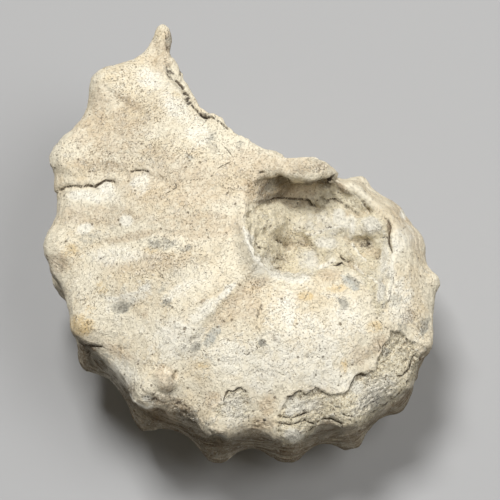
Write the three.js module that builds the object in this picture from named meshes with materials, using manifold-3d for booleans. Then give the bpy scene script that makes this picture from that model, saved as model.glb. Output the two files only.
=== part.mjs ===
// Ammonite fossil: the worn limestone cast of a spiny, flat-coiled shell, as one solid.
//
// The last whorl runs once round the coil axis, from the broken mouth with its horn to
// the place where it goes under its own beginning. Whorl angles are in degrees and grow
// away from the mouth, anticlockwise seen from above, so 118 is the mouth and 478 is the
// same direction one turn further in. A section of the whorl is a row of levels: 0 is
// the coil axis in the upper hollow, 1 the edge of the hollow's floor, 2 the foot of its
// wall, 3 the upper rim, 4 the shoulder, 5 and 6 the side, 7 and 9 the two rows of knobs,
// 8 the middle of the back, 13 the lower rim and 16 the coil axis below.
// Millimetres, +Z up. The fossil lies on its lower side at Z = 0, long axis along +Y.

import * as THREE from 'three';
import { mergeVertices } from 'three/addons/utils/BufferGeometryUtils.js';
import { ParametricGeometry } from 'three/addons/geometries/ParametricGeometry.js';
import { ImprovedNoise } from 'three/addons/math/ImprovedNoise.js';
import Module from 'manifold-3d';

const wasm = await Module();
wasm.setup();

// --- Driving dimensions ---------------------------------------------------------------

const FULL_TURN = 360;
const MOUTH_ANGLE = 118;
const UPPER_ROW_RISE = 0.16; // height of a knob row off the middle plane, per mm of radius
const LOWER_ROW_RISE = 0.175;
const UPPER_ROW_OUT = 0.35; // how far the upper row stands out over the lower one
const HOLLOW_FLOOR = 6.6; // height of the upper hollow's floor on the coil axis
const UNDER_FLOOR = -9.1; // the same for the filled lower hollow
const LIE_TILT_X = 5; // how the coil leans when it lies on its lower side, degrees
const LIE_TILT_Y = 1.2;
const LONG_AXIS = 120; // direction of the longest span, degrees
const SHIFT_X = 5.36; // brings the middle of the footprint to the origin
const SHIFT_Y = -6.12;
const SHIFT_Z = 13.03; // brings the worn spot that the fossil lies on to Z = 0
const BLOCK = 80; // edge of the block that takes off everything under Z = 0

// Radius of the back along the whorl, between the knobs: [whorl angle, mm].
const BACK_RADIUS = [
  [55, 35], [118, 32.2], [145, 31.3], [164, 29.2], [187, 27.2], [207, 25.6], [233, 23.6],
  [258, 22], [281, 21.2], [303, 20.9], [321, 19.9], [337, 18.9], [362, 17], [380, 16.3],
  [402, 15.2], [421, 14.3], [478, 12.8],
];

// The upper rim, and the foot and floor of the upper hollow's wall: [angle, radius, height].
// From 55 to 105 the rim is the tongue that hangs over the hollow like a hood. From 340 to
// 50 the hollow widens into a shelf of filling that ends at the seam of the inner whorl.
const UPPER_RIM = [
  [55, 9.2, 11.4], [61, 8.2, 12.4], [70, 7.2, 12.8], [87, 7.1, 13], [99, 7.6, 13.1],
  [113, 8.2, 13.1], [130, 7.8, 13], [150, 6.4, 12.8], [170, 5.5, 12.5], [190, 5, 12.1],
  [209, 4.7, 11.7], [234, 4.6, 11.1], [262, 4.9, 10.6], [282, 5.4, 10.2], [303, 5.7, 9.8],
  [318, 6, 9.6], [329, 6.8, 9.4], [338, 8.8, 9.1], [347, 11.4, 8.7], [357, 12.4, 8.6],
  [4, 12.3, 8.6], [12, 12.4, 8.7], [20, 11.8, 9], [30, 10.8, 9.6], [41, 10.2, 10.4],
];
const WALL_FOOT = [
  [55, 8.6, 9.6], [66, 7.8, 8.4], [80, 7.3, 7.9], [95, 7.2, 8.2], [108, 7.1, 9], [118, 6.8, 9.6],
  [130, 6.2, 10], [150, 5, 9.9], [170, 4.3, 9.7], [209, 3.7, 9.3], [234, 3.6, 8.9],
  [262, 4, 8.7], [290, 4.4, 8.6], [318, 5.1, 8.7], [333, 6.7, 8.8], [342, 8.9, 8.5],
  [350, 10.8, 8], [4, 11.3, 7.8], [14, 11.4, 8.1], [23, 10.6, 8.4], [35, 9.7, 8.8], [46, 9, 9.3],
];
const HOLLOW_EDGE = [
  [55, 5.8, 8], [80, 5.4, 7.2], [105, 4.8, 7.2], [130, 3.8, 7.6], [165, 2.6, 7.8],
  [209, 2.1, 7.5], [262, 2.2, 7.3], [300, 2.8, 7.4], [325, 4, 8], [345, 4.9, 8.5],
  [5, 4.8, 8.6], [30, 5.4, 8.5],
];

// The same for the lower side, which is hidden when the fossil lies down.
const LOWER_RIM = [
  [95, 7.4, -13.7], [150, 6.6, -13.5], [210, 5.8, -12.9], [270, 5.8, -11.9],
  [330, 6.6, -10.8], [20, 7.6, -10.8], [60, 8, -12.3],
];
const LOWER_FOOT = [[95, 5.6, -10.8], [210, 4.4, -10.5], [300, 4.8, -9.7], [30, 5.8, -9.8]];
const LOWER_EDGE = [[95, 3, -9.5], [210, 2.4, -9.4], [300, 2.6, -9], [30, 3, -9.2]];

// The shoulder just outside the rim: [angle, distance out from the rim, rise over it].
const SHOULDER = [
  [55, 1.4, 1.2], [62, 2.2, 1.8], [75, 2.7, 1.7], [88, 2.4, 0.8], [97, 2.1, 0.1],
  [118, 2.8, 0.3], [165, 2.8, 0.4], [230, 2.6, 0.4], [290, 2.4, 0.3], [330, 2.2, 0.2],
  [350, 0.9, 0.1], [400, 0.8, 0], [415, 0.8, 0], [440, 1, -0.2], [478, 1.2, -0.4],
];
// How far the side of the whorl swells over the straight line from shoulder to knob row.
const SIDE_SWELL = [
  [55, 1.2], [118, 1.3], [180, 1.8], [230, 2.1], [290, 2.1], [340, 1.2], [360, 0.8], [415, 0.6],
  [478, 0.5],
];
const SIDE_SHARES = [0.36, 0.75]; // where the two side levels lie between shoulder and row

// The edge of the mouth: [level, angle]. On the upper side it sweeps far forward, along
// the outer edge of the tongue.
const MOUTH_EDGE = [
  [0, 55], [3, 55], [3.5, 58], [3.83, 70], [4, 90], [4.25, 107.5], [4.5, 115], [5, 120.5],
  [5.5, 122.5], [6, 122], [6.6, 119.5], [7, 118], [8, 118.5], [9, 119], [10, 119],
  [11, 117], [12, 105], [13, 95], [16, 95],
];

// Knobs: [angle, height above the back, half width in degrees, height in the lower row].
const KNOBS = [
  [134, 3.2, 6, 2.6], [155, 2.2, 6, 1.8], [178, 1.8, 5.5, 1.6], [200.5, 1.5, 5.5, 1.4],
  [228, 1.5, 5, 1.7], [249.5, 2, 5, 2.1], [270, 2.3, 5.5, 1.7], [290, 2.2, 5, 1.9],
  [311, 1.6, 5, 1.3], [325, 1.1, 4, 1], [353, 1.6, 4.5, 1.4], [369, 1, 4.5, 0.9],
  [387, 0.8, 4.5, 0.8], [411, 1.1, 5, 1], [434, 1, 5, 1], [457, 1, 5, 1],
];
const KNOB_SPREAD_SIDE = 0.62; // spread of a knob in levels, towards the side and the back
const KNOB_SPREAD_BACK = 0.38;
// The horn at the mouth: its length, how fast it falls away in degrees and how blunt it is,
// its spread in levels, and how far it points up and leans forward.
const HORN = {
  angle: 118, length: 4, fade: 4.5, blunt: 1.2, spread: 0.36, lift: 0.35, lean: 0.8,
};

// Ribs: [angle at the knob row, how far the inner end lies forward, height, half width].
const RIBS = [
  [131, 2, 0.5, 7], [153, 19, 0.8, 8], [172, 13, 1, 8], [197, 9, 0.9, 7.5],
  [226, 12, 1, 7], [250, -3, 0.6, 6.5], [270, -2, 0.45, 5.5], [289, 0, 0.4, 5],
  [311, 3, 0.35, 5], [325, 3, 0.3, 5],
];

// Single bumps on the upper side: [angle, level, height, spread in degrees, in levels].
const BUMPS = [
  [82, 2.6, -0.8, 20, 0.25], [229, 6.5, 0.8, 3.5, 0.3], [101, 4.1, 0.8, 5, 0.4],
  [14, 1.9, 0.7, 7, 0.2], [3, 1.7, -0.7, 7, 0.2], [345, 1.4, 0.3, 9, 0.25],
];

// Blunt lumps on the edge of the mouth, the first one the horn's tip: where they sit as
// [whorl angle, radius, height], their half widths and the direction they point in.
const LUMPS = [
  { at: [118, 33.7, 6.6], size: [2.9, 0.95, 0.9], turn: 102 },
  { at: [101, 10.4, 12.2], size: [1.2, 1.7, 1.1], turn: 101 },
];
const LUMP_STEPS = 16;

const COLUMNS = 86; // steps round the whorl
const COLUMN_CROWDING = 0.66; // first step over the mean step, so the mouth is finest
const FACE_COLUMNS = 10; // steps across the broken face of the mouth
const ROWS_PER_LEVEL = [3, 3, 4, 6, 4, 4, 4, 3, 3, 4, 3, 3, 2, 2, 1, 1];
const FACE_CROWDING = 1.4; // brings the steps of the face closer towards the outer edge
const FACE_HOLLOW = 0.7; // depth of the rough face between its edges
const WAVE_SIZE = 5.5; // spacing of the slow waves of the worn surface, and their height
const WAVE_HEIGHT = 0.22;
const FACE_WAVE_HEIGHT = 0.6;
const WELD = 1e-3; // corners closer than this are one corner

// --- Smooth curves through the tables ---------------------------------------------------

function hermite(t, y0, y1, slope0, slope1) {
  const t2 = t * t;
  const t3 = t2 * t;
  return (2 * t3 - 3 * t2 + 1) * y0 + (t3 - 2 * t2 + t) * slope0
    + (3 * t2 - 2 * t3) * y1 + (t3 - t2) * slope1;
}

// The value at x of a smooth curve through rows of [x, ...], read from one column.
function valueAt(rows, x, column = 1) {
  const last = rows.length - 1;
  const clamped = Math.min(Math.max(x, rows[0][0]), rows[last][0]);
  let i = 0;
  while (i < last - 1 && rows[i + 1][0] < clamped) i += 1;
  const slope = (k) => {
    const before = rows[Math.max(k - 1, 0)];
    const after = rows[Math.min(k + 1, last)];
    return (after[column] - before[column]) / (after[0] - before[0]);
  };
  const step = rows[i + 1][0] - rows[i][0];
  const t = (clamped - rows[i][0]) / step;
  return hermite(t, rows[i][column], rows[i + 1][column], slope(i) * step, slope(i + 1) * step);
}

// A table that closes on itself after a full turn, as rows of growing angle with one row
// of overlap at each end.
function closed(table) {
  const rows = table.map(([angle, ...rest]) => [angle, ...rest]);
  for (let i = 1; i < rows.length; i += 1) {
    while (rows[i][0] < rows[i - 1][0]) rows[i][0] += FULL_TURN;
  }
  const shifted = ([angle, ...rest], turns) => [angle + turns * FULL_TURN, ...rest];
  return [
    shifted(rows.at(-1), -1), ...rows, shifted(rows[0], 1), shifted(rows[1], 1),
  ];
}

const upperRim = closed(UPPER_RIM);
const wallFoot = closed(WALL_FOOT);
const hollowEdge = closed(HOLLOW_EDGE);
const lowerRim = closed(LOWER_RIM);
const lowerFoot = closed(LOWER_FOOT);
const lowerEdge = closed(LOWER_EDGE);

function pointOn(ring, angle) {
  const first = ring[1][0];
  const turned = first + ((((angle - first) % FULL_TURN) + FULL_TURN) % FULL_TURN);
  return new THREE.Vector2(valueAt(ring, turned, 1), valueAt(ring, turned, 2));
}

// --- The section of the whorl -----------------------------------------------------------

// Past the tongue's tip the inner whorl goes on under the mouth, where the rim is its own.
const TIP_ANGLE = 415;
const BURIED_RIM = [[415, 9.4, 11.6], [440, 9.6, 9.8], [478, 9.6, 8.6]];

function rimAt(angle, ring, buried) {
  if (!buried || angle <= TIP_ANGLE) return pointOn(ring, angle);
  return new THREE.Vector2(valueAt(BURIED_RIM, angle, 1), valueAt(BURIED_RIM, angle, 2));
}

function sidePoints(rim, row, angle) {
  const side = Math.sign(row.y);
  const swell = side * valueAt(SIDE_SWELL, angle);
  const shoulder = rim.clone();
  shoulder.x += valueAt(SHOULDER, angle, 1);
  shoulder.y += side * valueAt(SHOULDER, angle, 2);
  const between = SIDE_SHARES.map((share) => {
    const point = shoulder.clone().lerp(row, share);
    point.y += swell * 4 * share * (1 - share);
    return point;
  });
  return [shoulder, ...between];
}

function sectionAt(angle) {
  const radius = valueAt(BACK_RADIUS, angle);
  const upperRow = new THREE.Vector2(radius + UPPER_ROW_OUT, UPPER_ROW_RISE * radius);
  const lowerRow = new THREE.Vector2(radius, -LOWER_ROW_RISE * radius);
  const top = rimAt(angle, upperRim, true);
  const bottom = rimAt(angle, lowerRim, false);
  const points = [
    new THREE.Vector2(0, HOLLOW_FLOOR),
    pointOn(hollowEdge, angle),
    pointOn(wallFoot, angle),
    top,
    ...sidePoints(top, upperRow, angle),
    upperRow,
    new THREE.Vector2(radius + 0.3, 0),
    lowerRow,
    ...sidePoints(bottom, lowerRow, angle).reverse(),
    bottom,
    pointOn(lowerFoot, angle),
    pointOn(lowerEdge, angle),
    new THREE.Vector2(0, UNDER_FLOOR),
  ];
  return new THREE.CatmullRomCurve3(points.map(({ x, y }) => new THREE.Vector3(x, 0, y)));
}

const LAST_LEVEL = 16;

// --- Relief on the shell ----------------------------------------------------------------

const bell = (distance, spread) => Math.exp(-((distance / spread) ** 2));

function knobHeight(angle, level) {
  const upper = level < 8;
  const past = upper ? level - 7 : 9 - level;
  const across = bell(past, past < 0 ? KNOB_SPREAD_SIDE : KNOB_SPREAD_BACK);
  let height = 0;
  for (const [at, high, wide, low] of KNOBS) {
    height += (upper ? high : low) * bell(angle - at, wide);
  }
  return height * across;
}

// The horn stands straight out from the coil axis, in the upper row alone.
function hornLength(angle, level) {
  const away = Math.hypot(angle - HORN.angle, HORN.blunt) - HORN.blunt;
  return HORN.length * Math.exp(-away / HORN.fade) * bell(level - 7, HORN.spread);
}

function ribHeight(angle, level) {
  const upper = level < 8;
  const inward = upper ? 7 - level : level - 9; // 0 at the knob row, 4 at the rim
  if (inward < -1 || inward > 4) return 0;
  const share = Math.min(Math.max(inward / 4, 0), 1);
  const fade = THREE.MathUtils.smoothstep(inward, -1, 0.3)
    * (1 - THREE.MathUtils.smoothstep(inward, 1.6, 3.8));
  let height = 0;
  for (const [at, forward, high, wide] of RIBS) {
    height += high * bell(angle - (at - forward * share), wide * (1 + 0.5 * share));
  }
  return height * fade;
}

function bumpHeight(angle, level) {
  let height = 0;
  for (const [at, atLevel, high, wide, long] of BUMPS) {
    const turned = ((angle - at + 540) % FULL_TURN) - 180;
    height += high * bell(turned, wide) * bell(level - atLevel, long);
  }
  return height;
}

const noise = new ImprovedNoise();
const waveAt = (p) => noise.noise(p.x / WAVE_SIZE, p.y / WAVE_SIZE, p.z / WAVE_SIZE);

// --- The surface ------------------------------------------------------------------------

function shellPoint(angle, level, target) {
  const section = sectionAt(angle);
  const t = level / LAST_LEVEL;
  const base = section.getPoint(t);
  const along = section.getTangent(t);
  const turn = THREE.MathUtils.degToRad(angle);
  target.set(base.x * Math.cos(turn), base.x * Math.sin(turn), base.z);
  if (level === 0 || level === LAST_LEVEL) return target;
  const relief = knobHeight(angle, level) + ribHeight(angle, level) + bumpHeight(angle, level)
    + WAVE_HEIGHT * waveAt(target);
  const horn = hornLength(angle, level);
  const radius = base.x - along.z * relief + horn;
  const height = base.z + along.x * relief + HORN.lift * horn;
  const lean = HORN.lean * horn / HORN.length;
  return target.set(
    radius * Math.cos(turn) + lean * Math.sin(turn),
    radius * Math.sin(turn) - lean * Math.cos(turn),
    height,
  );
}

const outer = new THREE.Vector3();
const inner = new THREE.Vector3();

// The rough face of the mouth, drawn between its edge and the whorl under it.
function facePoint(share, level, target) {
  const edge = valueAt(MOUTH_EDGE, level);
  shellPoint(edge + FULL_TURN, level, inner);
  shellPoint(edge, level, outer);
  target.lerpVectors(inner, outer, share);
  const gap = inner.distanceTo(outer);
  const swell = Math.sin(Math.PI * share) * Math.min(gap / 6, 1);
  const bulge = swell * (FACE_WAVE_HEIGHT * waveAt(target) - FACE_HOLLOW);
  const out = THREE.MathUtils.degToRad(edge - 90);
  target.x += bulge * Math.cos(out);
  target.y += bulge * Math.sin(out);
  return target;
}

const levels = [0];
ROWS_PER_LEVEL.forEach((rows, level) => {
  for (let i = 1; i <= rows; i += 1) levels.push(level + i / rows);
});

// Columns start on the edge of the mouth and end under it. Towards the middle of the
// whorl they turn into plain radial lines.
function columnAngle(t, level) {
  const turned = FULL_TURN * (COLUMN_CROWDING * t + (1 - COLUMN_CROWDING) * t * t);
  const sweep = valueAt(MOUTH_EDGE, level) - MOUTH_ANGLE;
  return MOUTH_ANGLE + turned + sweep * (2 * t - 1) ** 2;
}

function surfacePoint(u, v, target) {
  const level = levels[Math.round(v * (levels.length - 1))];
  const column = Math.round(u * (COLUMNS + FACE_COLUMNS));
  if (column > COLUMNS) {
    const inward = 1 - (column - COLUMNS) / FACE_COLUMNS;
    return facePoint(1 - inward ** FACE_CROWDING, level, target);
  }
  return shellPoint(columnAngle(column / COLUMNS, level), level, target);
}

// --- From surface to solid --------------------------------------------------------------

function lump({ at: [angle, radius, height], size, turn }) {
  const shape = new THREE.SphereGeometry(1, LUMP_STEPS, LUMP_STEPS / 2);
  const around = THREE.MathUtils.degToRad(angle);
  shape.scale(...size);
  shape.rotateZ(THREE.MathUtils.degToRad(turn));
  shape.translate(radius * Math.cos(around), radius * Math.sin(around), height);
  return solidFrom(shape);
}

// Rows that run on against the whorl's turn leave their faces pointing inwards; such a
// geometry is turned inside out.
function solidFrom(geometry, insideOut = false) {
  geometry.deleteAttribute('normal');
  geometry.deleteAttribute('uv');
  const merged = mergeVertices(geometry, WELD);
  const corners = merged.index.array;
  const kept = [];
  for (let i = 0; i < corners.length; i += 3) {
    const [a, b, c] = corners.slice(i, i + 3);
    if (a === b || b === c || c === a) continue;
    if (insideOut) kept.push(a, c, b);
    else kept.push(a, b, c);
  }
  return new wasm.Manifold(new wasm.Mesh({
    numProp: 3,
    vertProperties: new Float32Array(merged.attributes.position.array),
    triVerts: new Uint32Array(kept),
  }));
}

function geometryFrom(solid) {
  const mesh = solid.getMesh();
  const geometry = new THREE.BufferGeometry();
  geometry.setAttribute('position', new THREE.BufferAttribute(mesh.vertProperties, 3));
  geometry.setIndex(new THREE.BufferAttribute(mesh.triVerts, 1));
  geometry.computeVertexNormals();
  return geometry;
}

function fossilGeometry() {
  const shell = new ParametricGeometry(surfacePoint, COLUMNS + FACE_COLUMNS, levels.length - 1);
  const whole = wasm.Manifold.union([solidFrom(shell, true), ...LUMPS.map(lump)]);
  const lying = geometryFrom(whole);
  lying.rotateZ(THREE.MathUtils.degToRad(90 - LONG_AXIS));
  lying.rotateX(THREE.MathUtils.degToRad(LIE_TILT_X));
  lying.rotateY(THREE.MathUtils.degToRad(LIE_TILT_Y));
  lying.translate(SHIFT_X, SHIFT_Y, SHIFT_Z);
  const block = new THREE.BoxGeometry(BLOCK, BLOCK, BLOCK);
  block.translate(0, 0, -BLOCK / 2);
  return geometryFrom(solidFrom(lying).subtract(solidFrom(block)));
}

const stone = new THREE.MeshStandardMaterial({ color: 0xd9cdb0, roughness: 0.9, metalness: 0 });
const ammonite = new THREE.Mesh(fossilGeometry(), stone);
ammonite.name = 'ammonite';

const group = new THREE.Group();
group.add(ammonite);

export default group;
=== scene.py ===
"""An ammonite fossil of pale limestone, lying on its side on a plain surface."""

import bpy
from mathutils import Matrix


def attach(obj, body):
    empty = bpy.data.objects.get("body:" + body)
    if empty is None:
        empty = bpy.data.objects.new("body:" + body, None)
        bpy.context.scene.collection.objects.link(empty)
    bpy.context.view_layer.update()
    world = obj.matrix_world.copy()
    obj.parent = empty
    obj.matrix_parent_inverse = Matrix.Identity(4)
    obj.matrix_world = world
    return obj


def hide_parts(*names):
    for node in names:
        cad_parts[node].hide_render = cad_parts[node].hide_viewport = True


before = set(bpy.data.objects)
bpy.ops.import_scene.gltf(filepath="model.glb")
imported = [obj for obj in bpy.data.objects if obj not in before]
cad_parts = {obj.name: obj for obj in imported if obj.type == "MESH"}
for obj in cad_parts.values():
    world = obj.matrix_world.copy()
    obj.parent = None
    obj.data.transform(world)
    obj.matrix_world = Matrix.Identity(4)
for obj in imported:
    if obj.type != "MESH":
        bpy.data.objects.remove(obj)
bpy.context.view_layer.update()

import math

import bpy
import numpy as np
from mathutils import Matrix, Quaternion, Vector, noise
from mathutils.bvhtree import BVHTree


# --- The camera ------------------------------------------------------------------------
# It looks down on the finished side of the fossil with a long lens, from the side of the
# knobs and turned a little, so that the horn points up.

MM = 0.001
VIEW_DISTANCE = 265 * MM
VIEW_AZIMUTH = math.radians(-111.62)
VIEW_ELEVATION = math.radians(60.24)
VIEW_ROLL = math.radians(-8.98)
VIEW_CENTRE = Vector((2.69, -1.38, 14.85)) * MM
LENS = 153.06
SENSOR = 36
NEAREST_SHOWN = 10 * MM

towards_camera = Vector((
    math.cos(VIEW_ELEVATION) * math.cos(VIEW_AZIMUTH),
    math.cos(VIEW_ELEVATION) * math.sin(VIEW_AZIMUTH),
    math.sin(VIEW_ELEVATION),
))
view_turn = towards_camera.to_track_quat("Z", "Y") @ Quaternion((0, 0, 1), VIEW_ROLL)
view_place = VIEW_CENTRE + towards_camera * VIEW_DISTANCE

camera = bpy.data.objects.new("camera", bpy.data.cameras.new("camera"))
camera.data.sensor_width = SENSOR
camera.data.lens = LENS
camera.data.clip_start = NEAREST_SHOWN
camera.matrix_world = Matrix.LocRotScale(view_place, view_turn, None)
bpy.context.scene.collection.objects.link(camera)
bpy.context.scene.camera = camera


# --- The floor and the light -----------------------------------------------------------
# A plain pale sheet under the fossil. One wide soft lamp shines from above the horn, a
# weak one from beside the camera, and a dim grey sky fills the shade.

FLOOR_WIDTH = 4.0
FLOOR_GREY = 0.40
FLOOR_ROUGHNESS = 0.9
SKY_GREY = (0.097, 0.090, 0.079, 1)
# Each lamp: name, place seen from the camera (right, up, towards it), size and power.
LAMPS = [
    ("key_lamp", (-0.13, 0.48, 0.48), 0.22, 4.35),
    ("fill_lamp", (0.27, 0.15, 0.44), 0.30, 1.4),
]

bpy.ops.mesh.primitive_plane_add(size=FLOOR_WIDTH)
floor = bpy.context.object
floor.name = "floor"
floor_paint = bpy.data.materials.new("floor_paint")
floor_paint.use_nodes = True
floor_shader = floor_paint.node_tree.nodes["Principled BSDF"]
floor_shader.inputs["Base Color"].default_value = (FLOOR_GREY, FLOOR_GREY, FLOOR_GREY, 1)
floor_shader.inputs["Roughness"].default_value = FLOOR_ROUGHNESS
floor.data.materials.append(floor_paint)

for name, place, size, power in LAMPS:
    lamp = bpy.data.objects.new(name, bpy.data.lights.new(name, "AREA"))
    lamp.data.size = size
    lamp.data.energy = power
    offset = view_turn @ Vector(place)
    lamp.matrix_world = Matrix.LocRotScale(
        VIEW_CENTRE + offset, offset.to_track_quat("Z", "Y"), None
    )
    bpy.context.scene.collection.objects.link(lamp)

sky = bpy.data.worlds.new("sky")
sky.use_nodes = True
sky.node_tree.nodes["Background"].inputs["Color"].default_value = SKY_GREY
bpy.context.scene.world = sky
bpy.context.scene.view_settings.view_transform = "Standard"


# --- The stone -------------------------------------------------------------------------
# The fossil is one piece of limestone. Its solid is rounded, cut into an even skin and
# smoothed, and the side that lies open gets a finer skin for the marks that follow.

SKIN_STEP = 0.44 * MM
WELD = 0.01 * MM
WEAR = 0.5
WEAR_ROUNDS = 4

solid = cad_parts["ammonite"]
fossil = bpy.data.objects.new("fossil", solid.data.copy())
fossil.data.materials.clear()
bpy.context.scene.collection.objects.link(fossil)
bpy.ops.object.select_all(action="DESELECT")
fossil.select_set(True)
bpy.context.view_layer.objects.active = fossil

bpy.ops.object.mode_set(mode="EDIT")
bpy.ops.mesh.select_all(action="SELECT")
bpy.ops.mesh.remove_doubles(threshold=WELD)
bpy.ops.mesh.tris_convert_to_quads()
bpy.ops.object.mode_set(mode="OBJECT")

rounding = fossil.modifiers.new("rounding", "SUBSURF")
rounding.levels = 1
rounding.render_levels = 1
skin = fossil.modifiers.new("skin", "REMESH")
skin.mode = "VOXEL"
skin.voxel_size = SKIN_STEP
wear = fossil.modifiers.new("wear", "SMOOTH")
wear.factor = WEAR
wear.iterations = WEAR_ROUNDS
for modifier in (rounding, skin, wear):
    bpy.ops.object.modifier_apply(modifier=modifier.name)


def read(owner, field, width, kind=np.float64):
    """One field of all the owner's items, with a row of this width for each item."""
    values = np.empty(len(owner) * width, kind)
    owner.foreach_get(field, values)
    return values.reshape(-1, width) if width > 1 else values


def evened(values, rounds):
    """The values of the vertices, each averaged with its neighbours this many times."""
    edges = read(fossil.data.edges, "vertices", 2, np.int32)
    ends = np.concatenate([edges[:, 0], edges[:, 1]])
    others = np.concatenate([edges[:, 1], edges[:, 0]])
    count = np.bincount(ends, minlength=len(values))
    for _ in range(rounds):
        values = np.stack(
            [np.bincount(ends, column[others], len(values)) / count for column in values.T], 1
        )
    return values


# The rounding has worn the horn and the knobs down; each point goes back out to the solid
# by the mean distance around it.
PUSHES = 2
PUSH_SPREAD = 6
solid_tree = BVHTree.FromPolygons(
    [vertex.co for vertex in solid.data.vertices],
    [tuple(face.vertices) for face in solid.data.polygons],
)
for _ in range(PUSHES):
    points = read(fossil.data.vertices, "co", 3)
    nearest = np.array([solid_tree.find_nearest(Vector(p))[0] for p in points])
    points += evened(nearest - points, PUSH_SPREAD)
    fossil.data.vertices.foreach_set("co", points.ravel())
fossil.data.update()


# A point's place in the camera's picture, counted from the upper left corner.
IMAGE_SIZE = 500
to_camera = np.array(camera.matrix_world.inverted())
focal = IMAGE_SIZE * LENS / SENSOR


def pictured(points):
    """Where the camera shows the points, in pixels across and down."""
    local = points @ to_camera[:3, :3].T + to_camera[:3, 3]
    across = IMAGE_SIZE / 2 - focal * local[:, 0] / local[:, 2]
    down = IMAGE_SIZE / 2 + focal * local[:, 1] / local[:, 2]
    return np.stack([across, down], 1)


# A place is in sight if it leans at least this much towards the camera, and if a ray that
# starts this far above it meets nothing.
GRAZING = 0.02
CLEARANCE = 0.1 * MM


def in_sight(points, normals):
    """Which points of the fossil the camera sees."""
    tree = BVHTree.FromObject(fossil, bpy.context.evaluated_depsgraph_get())
    sight = np.array(view_place) - points
    sight /= np.linalg.norm(sight, axis=1)[:, None]
    seen = (sight * normals).sum(1) > GRAZING
    starts = points + normals * CLEARANCE
    for i in np.nonzero(seen)[0]:
        seen[i] = tree.ray_cast(Vector(starts[i]), Vector(sight[i]))[0] is None
    return seen


centres = read(fossil.data.polygons, "center", 3)
face_normals = read(fossil.data.polygons, "normal", 3)
fossil.data.polygons.foreach_set("select", in_sight(centres, face_normals))
bpy.ops.object.mode_set(mode="EDIT")
bpy.ops.mesh.select_mode(type="FACE")
bpy.ops.mesh.subdivide(number_cuts=1)
bpy.ops.mesh.select_all(action="SELECT")
bpy.ops.mesh.vertices_smooth(factor=0.5, repeat=2)
bpy.ops.mesh.normals_make_consistent(inside=False)
bpy.ops.object.mode_set(mode="OBJECT")

# The outline goes out or in a little, to its own line. Each pull: its place in the picture
# and how far it goes right and down, all in pixels.
PULL_REACH = 9
OUTLINE_PULLS = [
    (45, 253, -1.4, 0.4), (47, 227, 1.8, 0.6), (51, 216, 2.9, 1.0), (54, 204, 1.7, 0.3),
    (52, 175, 1.1, -0.2), (51, 158, -1.9, -0.3), (61, 142, -1.4, -1.7), (71, 135, -1.7, -2.4),
    (80, 126, -3.0, -2.6), (87, 115, -2.6, -0.6), (90, 89, -1.6, -0.3), (94, 78, -2.0, -1.5),
    (103, 70, -0.9, -1.5), (120, 65, -0.4, -2.0), (132, 63, -1.0, -2.6), (142, 56, -1.3, -1.4),
    (150, 46, -0.8, -0.5), (155, 35, -1.2, -0.4), (172, 53, -3.1, 0.6), (187, 94, 2.5, -0.6),
    (191, 105, 2.9, -2.3), (164, 27, 1.2, -2.3), (170, 38, 1.6, -0.5), (205, 113, 1.1, -1.2),
    (214, 121, 1.9, -3.0), (224, 128, 1.3, -2.0), (271, 145, 0.0, 2.2), (282, 149, -2.3, 2.3),
    (307, 159, 0.4, -1.6), (318, 163, 1.1, -3.3), (330, 167, 0.6, -1.4), (343, 171, -1.5, 3.7),
    (374, 184, -3.2, 2.6), (382, 193, -0.8, 1.0), (402, 204, -1.0, 1.7), (410, 213, -4.5, 2.2),
    (414, 224, -0.9, 0.4), (428, 242, -2.3, 1.3), (431, 254, -4.7, -0.3), (433, 266, -3.0, 1.5),
    (442, 283, -1.8, 0.1), (438, 294, -2.5, -0.8), (436, 309, -2.6, -0.4), (434, 321, -1.5, -0.3),
    (431, 336, 1.3, 0.1), (426, 361, -1.8, -0.3), (425, 373, -5.6, -2.3), (417, 382, -1.3, -1.2),
    (405, 408, -1.0, -0.8), (388, 416, -0.3, -1.2), (370, 425, 1.1, 0.9), (358, 442, 2.4, 2.0),
    (333, 446, 0.3, -1.1), (255, 450, 0.0, -1.9), (243, 453, -0.9, -2.9), (232, 459, -1.2, -1.9),
    (210, 457, -1.8, 1.7), (202, 447, -2.6, 2.1), (193, 438, -1.0, 1.6), (174, 434, -0.3, -3.2),
    (162, 436, -0.6, -6.1), (150, 436, 0.8, -4.3), (136, 421, -1.3, 0.6), (132, 410, -2.0, 0.8),
    (116, 391, 1.6, -1.7), (107, 383, 2.6, -2.8), (97, 376, 0.9, -1.3), (87, 369, -1.3, 1.9),
    (75, 347, 2.3, -0.3), (68, 329, 1.9, -0.9), (65, 317, 3.4, -0.4), (65, 305, 1.2, -0.2),
    (56, 284, -2.4, 0.6), (54, 272, -3.5, 1.0),
]
PIXEL = VIEW_DISTANCE / focal
picture_right = np.array(view_turn @ Vector((1, 0, 0)))
picture_up = np.array(view_turn @ Vector((0, 1, 0)))

points = read(fossil.data.vertices, "co", 3)
place = pictured(points)
pulled = np.zeros((len(points), 2))
for x, y, right, down in OUTLINE_PULLS:
    share = np.exp(-(((place - (x, y)) ** 2).sum(1)) / PULL_REACH ** 2)
    pulled += share[:, None] * (right, down)
points += PIXEL * (pulled[:, :1] * picture_right - pulled[:, 1:] * picture_up)
fossil.data.vertices.foreach_set("co", points.ravel())
fossil.data.update()

normals = read(fossil.data.vertices, "normal", 3)
place = pictured(points)

# 1 on the side in sight; marks made for it run out over a short way beyond its border.
BORDER_ROUNDS = 40
seen = in_sight(points, normals)
near = np.clip(2 * evened(seen[:, None].astype(float), BORDER_ROUNDS)[:, 0], 0, 1)
unseen = 1 - near


def drift(size, seed, depth=3):
    """Soft noise from -1 to 1 over the fossil, with features of the given size in mm."""
    shift = Vector((seed * 17.3, seed * 5.1, seed * 9.7))
    scale = 1 / (size * MM)
    return np.array([
        noise.fractal(Vector(p) * scale + shift, 1.0, 2.0, depth) for p in points
    ])


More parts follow.
